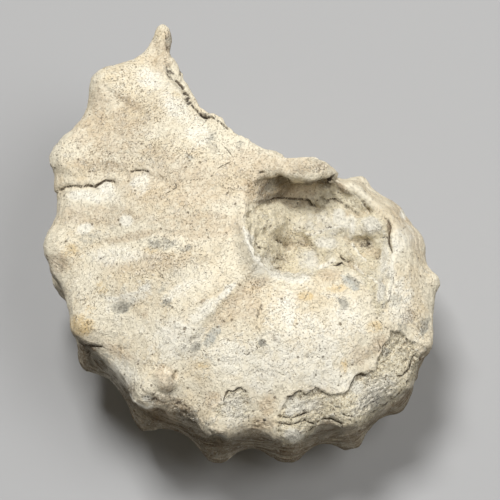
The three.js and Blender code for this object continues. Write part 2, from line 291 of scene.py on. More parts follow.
# Marks are given by where they lie in the camera's picture, and follow slightly wavering
# lines.
WAVER_SIZE = 1.6
WAVER_PIXELS = 0.9
waver = np.stack([drift(WAVER_SIZE, 1), drift(WAVER_SIZE, 2)], 1)
spot = place + WAVER_PIXELS * waver


def line_distance(corners):
    """Distance of each point to a line through the corners, and the side it lies on."""
    best = np.full(len(spot), 1e9)
    side = np.zeros(len(spot))
    for start, end in zip(corners[:-1], corners[1:]):
        a = np.array(start, float)
        along = np.array(end, float) - a
        share = np.clip((spot - a) @ along / (along @ along), 0, 1)
        away = spot - a - share[:, None] * along
        distance = np.hypot(away[:, 0], away[:, 1])
        closer = distance < best
        best[closer] = distance[closer]
        side[closer] = np.sign(along[0] * away[closer, 1] - along[1] * away[closer, 0])
    return best / np.maximum(near, 0.01), side


# How far each point lies from the nearest dark line and the nearest white vein, in widths of that
# line, and how strong the line is there; a dark line is a crack or a painted shadow line. The finish
# draws the lines from these.
FAR = 9.0
crack_and_shadow_distance = np.full(len(points), FAR)
crack_and_shadow_strength = np.zeros(len(points))
vein_distance = np.full(len(points), FAR)


def add_crack_and_shadow_line(corners, width, strength, offset=0.0):
    """Notes down a crack, or a painted shadow line, along the corners, moved aside by the offset, in
    pixels.
    """
    distance, side = line_distance(corners)
    scaled = np.abs(np.where(side < 0, -distance, distance) - offset) / width
    closer = scaled < crack_and_shadow_distance
    crack_and_shadow_distance[closer] = scaled[closer]
    crack_and_shadow_strength[closer] = strength


def groove(corners, width):
    """1 on the line through the corners, falling to 0 a few widths away from it."""
    distance, _ = line_distance(corners)
    return np.exp(-((distance / width) ** 2))


LEDGE_STEP = 0.8


def below_ledge(corners, reach, step=LEDGE_STEP):
    """1 just right of the line, seen along it, falling off over the reach; 0 on its left."""
    distance, side = line_distance(corners)
    return np.where(side > 0, np.exp(-distance / reach), 0) * np.clip(distance / step, 0, 1)


def patch(x, y, half_width, half_height, turn=0):
    """1 in the middle of an oval patch, 0 outside; its edge is ragged."""
    angle = math.radians(turn)
    away = place - (x, y)
    across = (away[:, 0] * math.cos(angle) + away[:, 1] * math.sin(angle)) / half_width
    down = (away[:, 1] * math.cos(angle) - away[:, 0] * math.sin(angle)) / half_height
    share = np.clip(1.35 - np.hypot(across, down), 0, 1)
    return near * share * share * (3 - 2 * share)


def inside(corners, soft):
    """1 inside the outline through the corners, 0 outside, over a soft edge."""
    distance, _ = line_distance(corners + corners[:1])
    x, y = spot[:, 0], spot[:, 1]
    within = np.zeros(len(spot), bool)
    for (x0, y0), (x1, y1) in zip(corners, corners[1:] + corners[:1]):
        if y0 == y1:
            continue
        crossed = (y0 > y) != (y1 > y)
        within ^= crossed & (x < (x1 - x0) * (y - y0) / (y1 - y0) + x0)
    signed = np.where(within, distance, -distance)
    share = np.clip(signed / soft + 0.5, 0, 1)
    return near * share * share * (3 - 2 * share)


# --- The stone's relief ----------------------------------------------------------------
# What wear, breaks and the filling of the hollow have left on the stone: scars where the outer layer
# has flaked off, ledges, cracks, furrows, dents and streaks. Each moves the skin in or out a little,
# and notes where the finish draws a dark line: a crack, or painted shadow under a ledge, the hood's
# lip and the seam, or painted shade in a dent.

# The fossil's own frame: the coil axis passes through COIL_CENTRE.
COIL_CENTRE = np.array((5.36, -6.12, 13.03)) * MM
COIL_TURN = (
    Matrix.Rotation(math.radians(1.2), 3, "Y")
    @ Matrix.Rotation(math.radians(5), 3, "X")
    @ Matrix.Rotation(math.radians(-30), 3, "Z")
)
coil = (points - COIL_CENTRE) @ np.array(COIL_TURN)
coil_radius = np.hypot(coil[:, 0], coil[:, 1])
coil_angle = np.degrees(np.arctan2(coil[:, 1], coil[:, 0])) % 360
outward = (normals @ np.array(COIL_TURN) * coil / coil_radius[:, None])[:, :2].sum(1)

broad = drift(3.2, 3)
medium = drift(1.1, 4, 2)
fine = drift(0.5, 5, 2)
rugged = drift(0.8, 8, 3)
crumbs = np.abs(rugged)

HOLLOW = [
    (246, 217), (252, 208), (266, 203), (290, 199), (312, 200), (324, 190), (352, 196),
    (372, 210), (386, 222), (392, 250), (394, 285), (388, 305), (378, 318), (372, 300),
    (366, 285), (352, 270), (330, 266), (315, 276), (298, 281), (275, 275), (256, 258),
    (246, 235),
]
# The places where the outer layer has flaked off, from the left scar to the right one.
# Each starts at a sharp ledge, and the stone below it lies lower.
LEFT_LEDGE = [
    (220, 404), (222.8, 401.7), (223.3, 397.2), (226, 392.2), (227.8, 390.5), (230, 391),
    (233.3, 391), (235.6, 390), (237.8, 387.2), (241, 387.2), (243.3, 388.9), (246, 391),
    (249, 399),
]
RIGHT_LEDGE = [
    (275, 432), (276.3, 417.5), (278.8, 412.5), (283.8, 403.8), (287.5, 396.3), (293.8, 395),
    (296.3, 391.9), (300, 390), (303, 391.9), (306.3, 395), (308.8, 393.8), (311.3, 391.3),
    (316.3, 387.5), (325, 392.5), (331.3, 395), (336.3, 393.8), (345, 392.5), (348.8, 388.8),
    (351.3, 383.8), (353.8, 378.8), (357.5, 375), (362.5, 373), (366.3, 374.4), (370, 371.3),
    (376.3, 370), (377.5, 358.8), (381.3, 352.5), (383, 346.3), (386.3, 342.5), (390, 337.5),
    (390.6, 331.3), (401.3, 332.5), (406.3, 336.3), (408.8, 340), (413.8, 342),
]
# Each scar: its ledge, the rest of its outline, its depth in mm and how far that reaches.
SCARS = [
    (LEFT_LEDGE, [(250, 412), (246, 420), (232, 418), (216, 416), (214, 408)], 0.36, 12),
    (RIGHT_LEDGE, [
        (420, 355), (416, 378), (405, 392), (392, 404), (380, 411), (371, 419), (360, 427),
        (343, 427), (334, 420), (322, 421), (314, 433), (300, 444), (284, 446),
    ], 0.50, 26),
]
# How far below its ledge a scar ends, and how wide one of its layers is, in pixels.
SCAR_END = 80
SCAR_LAYER = 7
# The dark shadow under a scar's ledge: its corners, how strong it is, and its width.
SCAR_SHADOWS = [
    (LEFT_LEDGE[1:4], 0.5, 0.6), (LEFT_LEDGE[3:12], 0.8, 0.9), (RIGHT_LEDGE[1:5], 0.25, 0.6),
    (RIGHT_LEDGE[4:10], 0.65, 0.8), (RIGHT_LEDGE[9:13], 0.2, 0.5), (RIGHT_LEDGE[12:15], 0.45, 0.6),
    (RIGHT_LEDGE[14:17], 0.3, 0.6), (RIGHT_LEDGE[16:21], 0.6, 0.9),
    (RIGHT_LEDGE[20:23], 0.9, 1.3), (RIGHT_LEDGE[22:25], 0.35, 0.6),
    (RIGHT_LEDGE[25:31], 0.4, 0.6), (RIGHT_LEDGE[30:35], 0.5, 0.7),
]
# The broken mouth edge is dark and pitted in three places, with thin dark lines between.
MOUTH_DARK = [(170, 71.5, 4.2, 10, -25), (187, 98, 4, 9, -28), (204, 115.5, 2.5, 7, -60)]
MOUTH_LINES = [
    ([(177, 81), (180, 85), (183.5, 89)], 1.0, 0.7),
    ([(191, 105), (196.3, 110), (201, 113.8), (206, 116.5), (212.5, 117.5)], 0.9, 0.6),
    ([(212.5, 117.5), (216, 120.5), (222.5, 125), (228, 130)], 0.8, 0.6),
    ([(177.5, 66), (178.5, 71), (179, 76)], 0.7, 0.5),
    ([(164.4, 31), (166.3, 45), (167.5, 53)], 0.6, 0.4),
]
MOUTH_RIM = [(184, 86), (193, 101), (203, 110), (219, 118), (231, 130), (246, 141)]
MOUTH_LUMP = [(173, 61), (177, 66), (180, 74)]
HORN_RIDGE = [(167, 55), (164, 60), (160, 65)]
SHOULDER = [
    (80, 343), (96, 348), (117, 371), (125, 385), (130, 394), (134, 400.5), (140, 405),
    (147, 408.5), (156, 409), (166, 413), (176, 418), (188, 424), (197, 432), (208, 437),
    (225, 437), (233, 439), (242, 435), (248, 433), (263, 433), (273, 438), (284, 446),
    (300, 444), (314, 433), (322, 421), (330, 419.5), (335, 422.5), (341, 425), (346, 428),
    (355, 429), (364, 426), (371, 419), (394, 403), (413, 384), (418, 366),
]
# The streaks below the shoulder start at this height in the picture and fade in over this.
SHOULDER_TOP = 335
SHOULDER_FADE = 30
# How fast the streaks change towards the coil's axis, around it and along it.
STREAKS_IN = 150
STREAKS_AROUND = 0.03
STREAKS_ALONG = 1700
# Where fine layers run along the shoulder, and how wide one of them is.
SHOULDER_LAYER = 6
LAYERED = [
    (170, 404, 22, 9, 10), (186, 412, 20, 12, 35), (140, 392, 10, 16, -40), (208, 428, 12, 8, 45),
    (160, 398, 16, 8, 10), (262, 424, 12, 8, 0), (400, 352, 22, 20, 40), (372, 400, 34, 10, -40),
]
# The long crack, fine hairlines and wider crevices, each by its corners.
MAIN_CRACK = [
    (58, 190), (64, 186), (72, 185), (80, 186), (87, 184), (94, 185), (99, 182), (104, 179),
    (113, 180),
]
HAIRLINES = [
    [(57, 142), (66, 143), (73.8, 141.9), (82.5, 141.3)],
    [(107.5, 157.5), (110, 152.5), (124, 152.5), (140, 153), (147.5, 158.8), (152, 162)],
    [(222, 143), (228, 150), (234, 159), (223, 165), (215, 171), (209, 179), (199, 180)],
    [(199, 180), (190, 180), (183, 181), (177, 183)],
    [(148, 191), (163, 193), (170, 190), (177, 186), (172, 178)],
    [(372, 314), (380, 320), (385, 327), (390, 330)], [(381, 327.5), (387.5, 330.6)],
    [(306.9, 356), (310, 361), (313.8, 368.8)], [(293, 323.8), (296.3, 328.8)],
    [(309.4, 328.8), (314, 330), (320, 331)], [(313.8, 353.8), (318, 357), (325, 360)],
    [(354, 194), (362, 203), (369, 213)], [(394, 277), (391, 296), (384, 312), (377, 319)],
    [(366, 408), (378, 400), (390, 391), (402, 380)], [(350, 404), (362, 400), (374, 392)],
    [(372, 414), (386, 405), (400, 394), (411, 381)], [(330, 404), (340, 408), (352, 406)],
    [(249, 415), (249, 428)], [(255, 409), (260, 411), (266, 410)],
    [(150.6, 379.4), (153, 383), (156.7, 386)], [(167, 393.3), (171, 391), (175.6, 387.2)],
    [(131, 303.3), (135, 301), (140, 301)], [(131, 306.7), (141, 304)],
    [(96.7, 319), (101, 321), (106.7, 322)], [(127.8, 347.8), (122, 348.5), (116.7, 345.6)],
    [(100, 100), (104.4, 95.6)], [(261.3, 180), (270, 178.5), (280, 176.7)],
    [(378, 340), (381, 348), (378, 352)], [(256, 346), (259, 352), (262, 354)],
    [(240, 352), (247, 356), (251, 351)],
]
CREVICES = [
    [(130, 170), (136, 169), (141, 169), (147, 171)],
    [(276, 415.6), (285, 416.9), (295, 417.5), (301, 415.6), (308.8, 413)],
    [
        (276, 423), (282.5, 424.4), (291.3, 425), (300, 423), (306.3, 420), (310, 422.5),
        (315, 424.4),
    ],
    [(77.8, 342), (82, 345.6), (88.9, 347.2), (96.7, 346.7), (101, 347)],
    [(341, 414.4), (346.3, 416.9), (352.5, 416.3)], [(310, 432), (315, 428.8)],
    [(415.6, 356), (413, 362.5), (411.9, 367.5), (408.8, 371), (403.8, 375), (397.5, 375.6)],
    [(325.8, 200.6), (330.2, 198.9), (335.8, 198.9)], [(381, 237), (386, 236.5)],
    [(322.5, 420), (330, 419.4), (335, 422.5), (341, 425)], [(286, 219), (290, 222)],
    [(326, 228.3), (332, 228.3)], [(278, 239), (284, 242)],
]
# The seam against the whorl before, the edge of the hollow's filling, and the hood's lip.
SEAM = [(385, 218), (388, 221), (390, 227), (388.6, 232.2), (387.4, 244.4), (390.2, 251)]
RIDGE_LINE = [
    (326, 266.4), (335.8, 264.4), (339, 262.8), (342.4, 262.2), (345.8, 265.6), (353.6, 268.9),
    (362.4, 272.2), (369, 275.6),
]
HOOD_LIP = [
    (280, 175.6), (282.4, 175), (285.8, 175.5), (289, 179.4), (293.6, 181.7), (300, 183.3),
    (307, 183.3), (311.3, 182.2), (315.8, 179.8), (320.2, 177.8), (326.9, 176.4), (334.5, 175),
]
# Ledges: corners, how deep the low side lies in mm, how far that reaches, and the strength of the
# painted shadow line on the low side.
LEDGES = [
    ([
        (271, 200), (278.6, 198.9), (288, 198.7), (298, 198.9), (305.8, 198.7), (309, 199.8),
        (310.8, 203.3), (313.6, 203.9),
    ], 0.5, 9, 0.6),
    ([
        (325.8, 200.6), (330.2, 198.9), (335.8, 198.9), (341.3, 201.1), (346.9, 204.4),
        (351.3, 207.8), (355.8, 211.1),
    ], 0.5, 8, 0.25),
    ([(274.7, 235.6), (280.2, 238.9), (285.8, 242.2), (292.4, 241.7), (298, 240)], 0.2, 8, 0.35),
    ([(267, 254.4), (275, 257), (285, 259)], 0.2, 6, 0.25),
    ([(276, 265.6), (282, 265.6)], 0.15, 4, 0.3),
    ([(260, 245.6), (265.8, 248.3)], 0.15, 4, 0.4),
    ([(341.3, 252.2), (345, 255.5), (349, 258.3), (352, 258)], 0.3, 5, 0.5),
    ([(136, 264), (143, 258), (143, 249)], 0.18, 6, 0.3),
    ([(95, 262), (104, 256), (116, 254)], 0.10, 5, 0.2),
    ([(263, 336), (256, 326), (258, 312), (262, 300)], 0.14, 7, 0.25),
]
# Worn ledges: corners, depth in mm, and how far that reaches.
SOFT_LEDGES = [
    ([(196, 332), (206, 318), (216, 308), (228, 297), (240, 285), (249, 274)], 0.34, 16),
    ([(112, 240), (136, 233), (151, 229), (183, 229), (207, 232)], 0.22, 9),
    ([(58, 168), (76, 171), (92, 170), (110, 166), (128, 164)], 0.25, 10),
    ([(112, 89), (128, 97), (142, 106), (154, 116)], 0.22, 9),
    ([(128, 169), (142, 168), (158, 173), (172, 180), (180, 186)], 0.28, 8),
    ([(253.6, 210), (258, 206.7), (264.7, 202.2), (271.3, 200)], 0.40, 8),
    ([(278, 193), (287, 189), (298, 187), (305, 186), (314, 183)], 0.30, 6),
    ([(139, 405), (147, 408), (163, 412), (176, 418), (189, 424)], 0.30, 8),
    ([(300, 292), (312, 291), (326, 293), (340, 297)], 0.10, 6),
]
# Furrows and ridges: corners, height in mm, and width.
RIDGES = [
    ([(303, 243), (310.2, 246.7), (313.6, 252.2), (315.8, 261)], -0.45, 4),
    ([(268, 232), (275, 236), (280, 239), (286, 242), (292, 242), (298, 240)], -0.3, 5),
    ([(353.6, 243.3), (365.8, 261)], 0.35, 2.2),
    ([(323.6, 231), (333.6, 228.9), (343.6, 227.2)], 0.28, 2.0),
    ([(352, 219), (352, 234)], 0.30, 3.0),
    ([(313, 234), (324, 231), (345, 227)], 0.35, 5),
    ([(342, 236), (352, 240), (362, 249), (376, 252)], -0.5, 5),
    ([(336, 248), (348, 258), (364, 270)], -0.35, 4),
    ([(318, 262), (313, 270), (304, 277)], 0.30, 6),
    ([(372, 262), (384, 272), (388, 290)], -0.25, 5),
    ([(304.7, 230), (312, 222), (320.2, 213.3)], 0.30, 4.0),
    ([(158.9, 376.7), (162.2, 380), (165.6, 380), (168.9, 377.2), (171.7, 374.4)], 0.10, 1.8),
    (MOUTH_RIM, 0.25, 5), (MOUTH_LUMP, 0.35, 4.5), (HORN_RIDGE, 0.2, 2.5),
]
# Pits: place and size. Dents with painted shade in them: place, half sizes and turn.
PITS = [
    (77.5, 147, 1.8), (98.8, 148.8, 1.3), (239.5, 234.5, 1.4), (85.6, 352.8, 3.4),
    (176, 371.7, 1.6), (377, 252, 2.2),
]
SHADED_DENTS = [
    (301.5, 239.5, 7, 5, 10), (365, 242, 9, 5, 15), (377, 252, 3, 4, 0), (339, 263, 4, 2.5, 0),
    (284.7, 177.5, 6, 3, 10), (262, 173, 3, 1.5, 0), (175, 376, 3, 5, 10), (361, 377, 6, 4, -20),
    (216, 439, 9, 4, 0), (160, 412, 8, 3, 15),
]
# Mounds and dents: place, half sizes, turn and height in mm.
MOUNDS = [
    (282, 222, 26, 19, 0, 0.7), (371, 226, 17, 11, 0, 0.8), (166, 379, 12, 12, 0, 0.6),
    (340, 186, 12, 5, 35, 0.3), (300, 262, 16, 12, 0, 0.3), (120, 307, 14, 7, -10, -0.2),
    (314, 162, 9, 3.5, 8, -0.25), (150, 400, 7, 5, 0, -0.2),
]

filled = inside(HOLLOW, 6)
lift = 0.12 * broad + 0.06 * medium + 0.02 * fine
lift += filled * (0.26 * medium + 0.10 * fine - 0.12 * crumbs)
cracks_and_shade = np.zeros(len(points))

# The left wall of the hollow is a gentle slope, and the hood hangs over its upper wall.
rise = 2.5 * patch(262, 228, 24, 46, 0) + 0.7 * patch(285, 240, 40, 30, 0)
lift += 0.45 * groove([(x, y - 3) for x, y in HOOD_LIP[2:-1]], 5)
lift -= 1.50 * below_ledge(HOOD_LIP, 10)
# The dark line just under the lip is painted shadow.
add_crack_and_shadow_line(HOOD_LIP, 1.5, 1.0, 1.1)

scarred = np.zeros(len(points))
for ledge, rest, depth, reach in SCARS:
    in_scar = inside(ledge + rest, 2)
    scarred = np.maximum(scarred, in_scar)
    distance, side = line_distance(ledge)
    below = (side > 0) & (distance < SCAR_END)
    drop = depth * (0.75 + 0.6 * medium)
    step = np.clip(distance / LEDGE_STEP, 0, 1)
    lift -= np.where(below, drop * np.exp(-distance / reach) * step, 0)
    layers = (distance / SCAR_LAYER + 0.9 * broad + 0.9 * medium) % 1
    lift += in_scar * below * 0.16 * (layers - 0.5)
    layer_edges = in_scar * below * (layers < 0.1)
    cracks_and_shade = np.maximum(cracks_and_shade, layer_edges * np.clip(medium * 3, 0, 0.75))
lift += scarred * (0.10 * fine + 0.05 * medium - 0.06 * crumbs)
for corners, strength, width in SCAR_SHADOWS:
    add_crack_and_shadow_line(corners, width, strength, 0.8 * width)

lift -= 0.35 * groove(MAIN_CRACK, 1.3)
lift -= 0.26 * below_ledge(MAIN_CRACK, 14)
add_crack_and_shadow_line(MAIN_CRACK, 0.9, 0.85)
for corners in CREVICES:
    lift -= 0.25 * groove(corners, 1.3)
    add_crack_and_shadow_line(corners, 0.8, 0.75)
for corners in HAIRLINES:
    lift -= 0.08 * groove(corners, 1.2)
    add_crack_and_shadow_line(corners, 0.5, 0.45)
for corners, width, strength in MOUTH_LINES:
    lift -= 0.2 * groove(corners, 1.2 * width)
    add_crack_and_shadow_line(corners, width, strength)
for oval in MOUTH_DARK:
    broken = patch(*oval)
    lift -= broken * (0.35 + 0.3 * medium)
    cracks_and_shade = np.maximum(cracks_and_shade, broken * np.clip(1.05 + 0.5 * medium + 0.9 * fine, 0.3, 1.2))
for x, y, size in PITS:
    hole = np.exp(-(((spot - (x, y)) ** 2).sum(1)) / size ** 2) * near
    lift -= 0.20 * size * hole
    cracks_and_shade = np.maximum(cracks_and_shade, hole)
lift -= 0.45 * groove(SEAM, 2.4)
# The dark lines along the seam and under the ridge line are painted shadow.
add_crack_and_shadow_line(SEAM[3:], 1.1, 0.6)
add_crack_and_shadow_line(SEAM[:4], 1.1, 0.4)
lift -= 0.60 * below_ledge(RIDGE_LINE[::-1], 12)
add_crack_and_shadow_line(RIDGE_LINE[::-1], 1.0, 0.8, 0.7)
for corners, depth, reach, strength in LEDGES:
    lift -= depth * below_ledge(corners, reach)
    add_crack_and_shadow_line(corners, 0.9, strength, 0.6)
for corners, depth, reach in SOFT_LEDGES:
    lift -= 1.3 * depth * below_ledge(corners, reach, 6)
for corners, height, width in RIDGES:
    lift += height * groove(corners, width)
for x, y, half_width, half_height, turn, height in MOUNDS:
    lift += height * patch(x, y, half_width, half_height, turn)
# The dark in these dents is painted shade.
for hollow in SHADED_DENTS:
    dark = patch(*hollow)
    lift -= 0.45 * dark
    cracks_and_shade = np.maximum(cracks_and_shade, dark * np.clip(0.5 + 0.9 * medium + 0.6 * fine, 0, 0.8))

shoulder_distance, shoulder_side = line_distance(SHOULDER)
layered = np.zeros(len(points))
for oval in LAYERED:
    layered = np.maximum(layered, patch(*oval))
layers = (shoulder_distance / SHOULDER_LAYER + 1.2 * broad + 0.5 * medium) % 1
lift += 0.26 * layered * (layers - 0.5)
layer_edges = layered * np.exp(-((layers - 0.15) / 0.15) ** 2)
cracks_and_shade = np.maximum(cracks_and_shade, layer_edges * np.clip(0.7 + fine, 0.2, 1.2))
below_shoulder = np.where(shoulder_side > 0, np.clip(shoulder_distance / 3, 0, 1), 0) * near
below_shoulder *= np.clip((spot[:, 1] - SHOULDER_TOP) / SHOULDER_FADE, 0, 1)

# Past the shoulder, growth lines and dirt run around the rim in streaks.
striped = np.clip((outward - 0.5) * 2.8, 0, 1)
streaks = np.array([
    noise.fractal(Vector((r * STREAKS_IN, a * STREAKS_AROUND, h * STREAKS_ALONG)), 1.0, 2.0, 3)
    for r, a, h in zip(coil_radius, coil_angle, coil[:, 2])
])
ventral = striped * np.maximum(0.4 + 0.6 * unseen, below_shoulder)
lift += 0.22 * ventral * streaks

moved = points + normals * (lift * MM)[:, None]
moved += np.array(towards_camera) * (rise * MM)[:, None]
moved[:, 2] = np.maximum(moved[:, 2], 0)
fossil.data.vertices.foreach_set("co", moved.ravel())
fossil.data.update()
bpy.ops.object.shade_smooth()


# --- The stone's colour areas ----------------------------------------------------------
# Lime has left the stone chalky white in places, and dirt and iron have stained it grey, yellow and
# tan. The brown areas, and some of the tan ones, are painted shade: under the hood, along folds, in
# dents and on the rim that faces down. Each area is a set of ovals: place, half sizes and turn. They
# are kept on the skin as attributes, which the finish reads.

# Pale chalky stone over a wide area, the whitest spots, and white veins with their width.
CHALK = [
    (150, 80, 20, 13, 20), (176, 108, 26, 12, 35), (200, 135, 20, 12, 35), (140, 182, 12, 14, 20),
    (100, 196, 20, 8, -8), (308, 262, 14, 16, 0), (385, 272, 10, 44, 0), (262, 264, 10, 16, 40),
    (285, 312, 18, 28, 0), (305, 345, 50, 38, 0), (235, 358, 36, 26, 30), (205, 310, 30, 9, -40),
    (180, 340, 34, 26, 0), (115, 255, 34, 12, 0), (262, 378, 24, 18, 0), (130, 298, 34, 8, -20),
    (180, 290, 26, 8, -30), (235, 410, 18, 18, 0), (345, 320, 26, 26, 0), (400, 240, 12, 22, 30),
    (335, 380, 30, 16, 0), (300, 405, 26, 10, 0), (375, 395, 30, 14, -40), (330, 225, 40, 14, 0),
    (120, 375, 20, 18, 0), (290, 370, 60, 20, 0), (400, 300, 16, 30, 0),
]
WHITE = [
    (126, 221, 8, 7, 0), (85, 229, 10, 6, -20), (80, 194, 14, 6, -8), (106, 188, 8, 9, 0),
    (292, 277, 22, 6, 8), (338, 219, 8, 8, 30), (371, 224, 12, 8, 10), (403, 214, 4, 6, 0),
    (352, 226, 4, 9, 0), (294, 436, 11, 8, 0), (312, 256, 5, 9, 0), (226, 292, 14, 4, -45),
    (206, 308, 12, 4, -45), (316, 376, 7, 10, 0), (290, 320, 6, 12, 10), (298, 408, 8, 5, 0),
    (112, 299, 9, 3, 5), (145, 288, 8, 4, -20), (147, 399, 6, 4, 0), (358, 388, 7, 7, 0),
    (329, 364, 5, 6, 0), (150, 80, 9, 9, 0), (172, 107, 10, 6, 30), (250, 240, 4, 12, -15),
    (259, 260, 9, 5, 50), (275, 272, 12, 6, 30), (298, 279, 16, 5, 0), (312, 262, 7, 14, 0),
    (345, 222, 14, 9, 0), (372, 226, 12, 9, 0), (326, 242, 14, 7, 0), (322, 266, 9, 4, -35),
    (340, 214, 8, 7, 20), (384, 258, 5, 18, 0), (382, 290, 5, 14, 10), (290, 412, 6, 5, 0),
]
CHALK_LINES = [
    ([(130, 394), (134, 400.5), (140, 405), (147, 408.3), (152, 407)], 1.0),
    ([(345, 227), (334, 229), (324, 231), (314, 235.5), (305, 235)], 1.3),
    ([(353.6, 243.3), (359, 251), (365.8, 261)], 1.1),
    ([(352, 219), (352, 234)], 2.2),
    ([(391, 250), (393, 275), (390, 298)], 2.4),
    ([(244.5, 228), (251, 250), (260, 262), (270, 270)], 2.0),
    ([(320, 266.7), (332.4, 257.8)], 2.4), ([(356, 262), (380, 285)], 1.0),
]
# The darkest grey spots, then yellow stone, its strongest spots, and grey stone.
DARK_ASH = [
    (354, 283, 9, 4, 50), (348, 278, 5, 4, 45), (195.5, 347.5, 5, 5, -40), (122, 307, 10, 6, -10),
    (425, 328, 3, 9, 15), (217, 439, 9, 3, 0), (344, 303, 5, 4, 0), (262, 343, 4, 4, 0),
]
OCHRE = [
    (82, 324, 15, 13, 0), (84, 330, 8, 8, 0), (305, 296, 12, 6, 10), (337, 288, 14, 6, 0),
    (328, 347, 6, 9, 0), (344, 367, 5, 12, 0), (374, 327, 12, 9, 0), (102, 288, 10, 8, 0),
    (204, 365, 11, 4, 0), (236, 377, 9, 5, 0), (241, 374, 4, 4, 0), (70, 250, 12, 9, 0),
    (150, 250, 12, 5, 0), (176, 95, 7, 5, 0), (90, 312, 10, 8, 0), (308, 295, 6, 4, 0),
]
DEEP_OCHRE = [(82, 325, 13, 12, 0), (306, 296, 9, 4, 5), (344, 366, 4, 10, 0)]
ASH = [
    (167, 245, 30, 8, 5), (120, 308, 12, 7, -10), (212, 337, 15, 9, -50), (196, 347, 8, 6, -40),
    (344, 303, 9, 8, 0), (396, 300, 9, 8, 0), (190, 157, 8, 4, 30), (88, 238, 14, 8, 0),
    (263, 343, 5, 5, 0), (353, 282, 12, 6, 50), (402, 328, 10, 6, 30), (161, 290, 8, 4, -30),
    (102, 357, 14, 7, 25), (220, 438, 12, 4, 0), (425, 325, 5, 14, 20), (212, 138, 6, 9, 20),
    (240, 144, 6, 4, 0), (388, 352, 8, 5, 0), (150, 402, 6, 3, 0), (272, 188, 9, 8, -30),
    (169, 41, 4, 10, 5), (166, 304, 6, 5, 0),
]
# Tan stone in bands, and tan painted shade along folds and rib edges, under the hood and around the
# lump.
TAN = [
    (100, 165, 40, 9, 3), (132, 236, 42, 6, -12), (205, 234, 36, 7, -4), (58, 262, 12, 14, 0),
    (250, 185, 12, 22, 10), (128, 101, 26, 7, 35), (236, 300, 36, 9, -45), (244, 306, 24, 20, 0),
    (168, 40, 5, 14, 0), (100, 110, 14, 30, 0), (290, 168, 36, 8, 0), (120, 353, 24, 8, 30),
    (165, 388, 9, 7, 0), (166, 376, 13, 13, 0), (168, 402, 24, 9, 12), (380, 345, 12, 14, 30),
    (312, 222, 4, 12, 40), (342, 188, 14, 4, 35), (268, 405, 12, 14, 0),
    (203.5, 301.5, 5, 3, -30), (360, 355, 14, 12, 0), (264, 424, 14, 9, 0), (274, 338, 3, 9, -40),
    (165, 369, 9, 5, 20), (323, 389, 18, 4, 0), (408, 315, 10, 8, 0), (295, 190, 34, 10, 0),
    (272, 186, 22, 14, -40), (253, 195, 6, 16, 35), (300, 161, 14, 4, 0), (160, 415, 24, 8, 10),
    (145, 315, 6, 4, -40), (160, 155, 30, 10, 15), (190, 200, 30, 10, 0), (256, 285, 20, 10, -20),
    (330, 275, 18, 8, 0), (300, 297, 12, 5, 0), (388, 406, 7, 4, -30), (388, 228, 3, 10, 0),
    (277, 252, 16, 12, 0), (213, 400, 12, 12, 0),
]
# Where the stone has a warmer tone over a wide area.
WARM = [
    (110, 130, 50, 40, 0), (175, 185, 80, 34, 0), (200, 225, 60, 20, 0), (100, 215, 60, 14, 0),
    (150, 262, 60, 14, -5), (250, 165, 40, 20, 0), (290, 165, 50, 12, 0), (235, 305, 40, 14, -45),
    (283, 230, 28, 26, 0), (160, 60, 16, 26, 0), (354, 262, 16, 9, 35), (400, 210, 10, 60, -25),
]
# Painted shade in brown: dark under the hood and along some folds, and faint elsewhere.
BROWN_SHADE = [
    (306, 184, 28, 6, -8), (284, 184, 13, 9, 20), (322, 183, 12, 8, 0), (266, 190, 12, 5, -45),
    (343, 190, 11, 2.5, 35), (280, 197, 14, 4, -30), (267, 200, 10, 5, -30),
    (203.5, 301.5, 4, 2.5, -30), (88, 347, 12, 4, 5), (388.5, 226, 2, 9, 0),
    (168.5, 42, 4, 11, 5), (312, 222, 3, 10, 40), (276, 339, 2, 7, -40),
]
FAINT_BROWN_SHADE = [
    (152, 174, 26, 3.5, 18), (110, 164, 22, 4, 4), (128, 101, 24, 5, 32), (172, 380, 6, 9, 10),
    (166, 366, 9, 4, 0), (165, 391, 10, 4, 10), (90, 346, 14, 5, 5), (166, 402, 22, 6, 12),
    (187, 413, 16, 6, 35), (130, 386, 6, 12, -35), (408, 316, 9, 10, 20), (318, 164, 14, 5, 12),
    (262, 180, 8, 10, 40), (61, 264, 6, 10, 0), (146, 258, 12, 4, -5), (284, 241, 14, 5, 15),
    (275, 258, 12, 4, 10), (300, 393, 6, 3, 0), (348, 384, 5, 6, 0), (212, 146, 12, 5, 40),
    (420, 326, 5, 9, 15), (236, 300, 20, 3, -45), (352, 262, 12, 6, 30),
]
# Where small dark pits are many.
PEPPER = [
    (95, 150, 26, 8, 0), (155, 110, 14, 20, -30), (190, 152, 20, 8, 10), (170, 256, 40, 24, -8),
    (318, 169, 16, 6, 10), (62, 155, 16, 14, 0), (105, 158, 30, 14, 0), (150, 140, 40, 24, 20),
    (185, 108, 32, 16, 40), (254, 284, 14, 12, 0), (256, 345, 12, 12, 0), (205, 400, 14, 10, 0),
    (185, 415, 22, 9, 20), (150, 365, 10, 6, 0), (215, 145, 18, 12, 30), (200, 345, 20, 12, 0),
    (130, 90, 24, 16, 0), (408, 315, 12, 10, 0), (180, 375, 8, 12, 0), (95, 300, 20, 16, 0),
    (300, 240, 20, 14, 0), (420, 330, 8, 14, 0), (214, 406, 8, 6, 0), (90, 328, 12, 10, 0),
    (175, 375, 6, 10, 0), (165, 367, 11, 6, 0), (165, 400, 26, 12, 10), (264, 190, 10, 12, -30),
    (280, 258, 18, 8, 0), (314, 162, 6, 3, 0),
]

# How widely the skin is evened to tell dents from bumps, and the reach of the filled hollow
# on the lower side.
DENT_ROUNDS = 24
LOW_HOLLOW = 10 * MM
